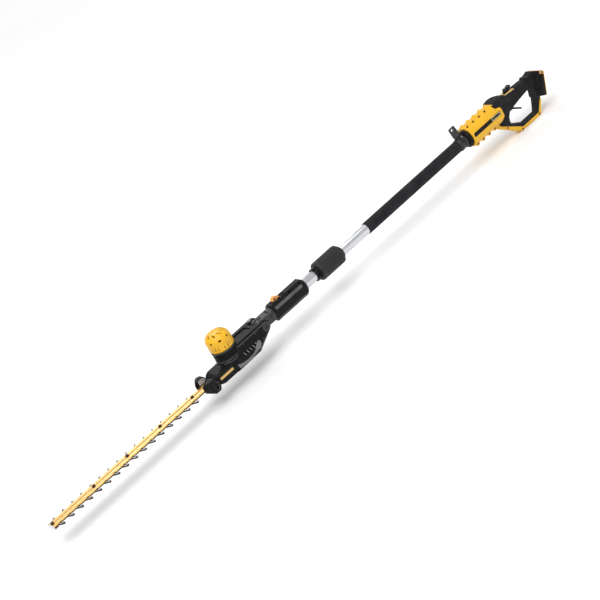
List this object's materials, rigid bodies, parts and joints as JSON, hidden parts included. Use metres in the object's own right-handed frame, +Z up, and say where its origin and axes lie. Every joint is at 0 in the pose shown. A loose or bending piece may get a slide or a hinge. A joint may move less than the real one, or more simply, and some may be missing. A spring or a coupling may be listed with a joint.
{
  "type": "pole hedge trimmer",
  "caption": "Cordless pole hedge trimmer: toothed twin blades on a tilting motor head, two-part tubular pole with a screw coupling, D-loop rear handle with a battery foot.",
  "frame": {"origin": "centre of the bounding box at its lowest face, under the pole's middle", "axes": "+X along the pole back towards the user, -Y the tool's left side, +Z up"},
  "size_m": [2.031, 0.077, 0.178],
  "materials": {
    "yellow_plastic": "satin moulded",
    "black_plastic": "fine grained moulded",
    "grip_rubber": "soft matte",
    "tan_plastic": "satin moulded",
    "grey_plastic": "satin moulded",
    "dark_steel": "black oxide",
    "bright_steel": "zinc plated",
    "black_steel": "powder coat",
    "blade_steel": "dark hardened, ground edges",
    "gear_steel": "greased",
    "laminated_steel": "laminated",
    "gold_aluminium": "gold anodised",
    "tube_aluminium": "clear anodised",
    "aluminium_cast": "die cast",
    "black_casting": "black paint on a casting",
    "brass_contacts": "bright",
    "lead_insulation": "satin"
  },
  "bodies": {
    "handle": {"handle_shell_left": "yellow_plastic", "handle_shell_right": "yellow_plastic", "grip_shell_left": "grip_rubber", "grip_shell_right": "grip_rubber", "shell_screws": "dark_steel", "battery_dock": "black_plastic", "dock_trim": "yellow_plastic", "terminal_block": "black_plastic", "terminal_blades": "brass_contacts", "lever_pins": "bright_steel", "lock_off_bezel": "tan_plastic", "switch_module": "black_plastic", "control_module": "aluminium_cast", "rear_leads": "lead_insulation", "nose_collar": "black_plastic", "hanger_band": "dark_steel", "strap_hanger": "black_steel", "hanger_screw": "bright_steel", "foregrip_sleeve": "grip_rubber", "rear_tube": "tube_aluminium", "coupling_body": "black_plastic", "connector_socket": "black_plastic", "trigger_spring": "bright_steel", "lock_off_spring": "bright_steel"},
    "trigger": {"trigger": "black_plastic"},
    "lock_off": {"lock_off_lever": "black_plastic"},
    "collar": {"coupling_collar": "black_plastic"},
    "front_pole": {"front_tube": "tube_aluminium", "connector_plug": "black_plastic", "front_leads": "lead_insulation", "barrel_left": "black_plastic", "barrel_right": "black_plastic", "barrel_screws": "dark_steel", "tilt_knuckle": "aluminium_cast", "lock_spring": "bright_steel"},
    "tilt_lock": {"tilt_button": "yellow_plastic", "lock_pin": "bright_steel"},
    "head": {"blade_bar": "gold_aluminium", "blade_bolts": "dark_steel", "tip_guard": "bright_steel", "bar_screws": "dark_steel", "blade_guard": "black_plastic", "stator": "laminated_steel", "ball_bearings": "bright_steel", "gearcase": "black_casting", "gearcase_cover": "black_casting", "motor_housing": "black_plastic", "motor_cap": "yellow_plastic", "head_shell_left": "black_plastic", "head_shell_right": "black_plastic", "head_screws": "dark_steel", "side_bands": "grey_plastic", "pivot_bolt": "dark_steel", "cheek_cap": "bright_steel", "detent_plate": "bright_steel"},
    "gear": {"drive_gear": "gear_steel"},
    "rotor": {"rotor": "laminated_steel", "fan": "black_plastic"},
    "upper_blade": {"upper_blade": "blade_steel"},
    "lower_blade": {"lower_blade": "blade_steel"}
  },
  "joints": [
    {"name": "trigger_squeeze", "type": "hinge", "parent": "handle", "child": "trigger", "pos_m": [0.8565, 0, 0.085], "axis": [0, -1, 0], "range_deg": [0, 15], "stiffness_Nm_per_rad": 0.3, "springref_deg": -22.92, "deforming": ["trigger_spring"]},
    {"name": "lock_off_rock", "type": "hinge", "parent": "handle", "child": "lock_off", "pos_m": [0.8765, 0, 0.115], "axis": [0, 1, 0], "range_deg": [0, 12], "stiffness_Nm_per_rad": 0.2, "springref_deg": -22.92, "deforming": ["lock_off_spring"]},
    {"name": "collar_turn", "type": "hinge", "parent": "handle", "child": "collar", "pos_m": [0.0685, 0, 0.101], "axis": [1, 0, 0], "range_deg": [0, 180]},
    {"name": "pole_pull", "type": "slide", "parent": "handle", "child": "front_pole", "axis": [-1, 0, 0], "range_m": [0, 0.07]},
    {"name": "tilt_lock_draw", "type": "slide", "parent": "front_pole", "child": "tilt_lock", "axis": [1, 0, 0], "range_m": [0, 0.007], "stiffness_N_per_m": 500, "springref_m": -0.006, "deforming": ["lock_spring"]},
    {"name": "head_tilt", "type": "hinge", "parent": "front_pole", "child": "head", "pos_m": [-0.2215, 0, 0.101], "axis": [0, 1, 0], "range_deg": [-90, 90]},
    {"name": "gear_turn", "type": "hinge", "parent": "head", "child": "gear", "pos_m": [-0.373, 0, 0.073], "axis": [0, 0, 1], "range_deg": [-90, 90]},
    {"name": "rotor_spin", "type": "hinge", "parent": "head", "child": "rotor", "pos_m": [-0.3455, 0, 0.101], "axis": [0, 0, 1], "range_deg": [-360, 360]},
    {"name": "upper_blade_stroke", "type": "slide", "parent": "head", "child": "upper_blade", "axis": [1, 0, 0], "range_m": [-0.0081, 0.0081]},
    {"name": "lower_blade_stroke", "type": "slide", "parent": "head", "child": "lower_blade", "axis": [1, 0, 0], "range_m": [-0.0082, 0.0082]}
  ],
  "couplings": [
    {"joint": "gear_turn", "follows": "upper_blade_stroke", "rad_per_m": -193.92},
    {"joint": "rotor_spin", "follows": "upper_blade_stroke", "rad_per_m": 775.68},
    {"joint": "lower_blade_stroke", "follows": "upper_blade_stroke", "ratio": -1}
  ]
}
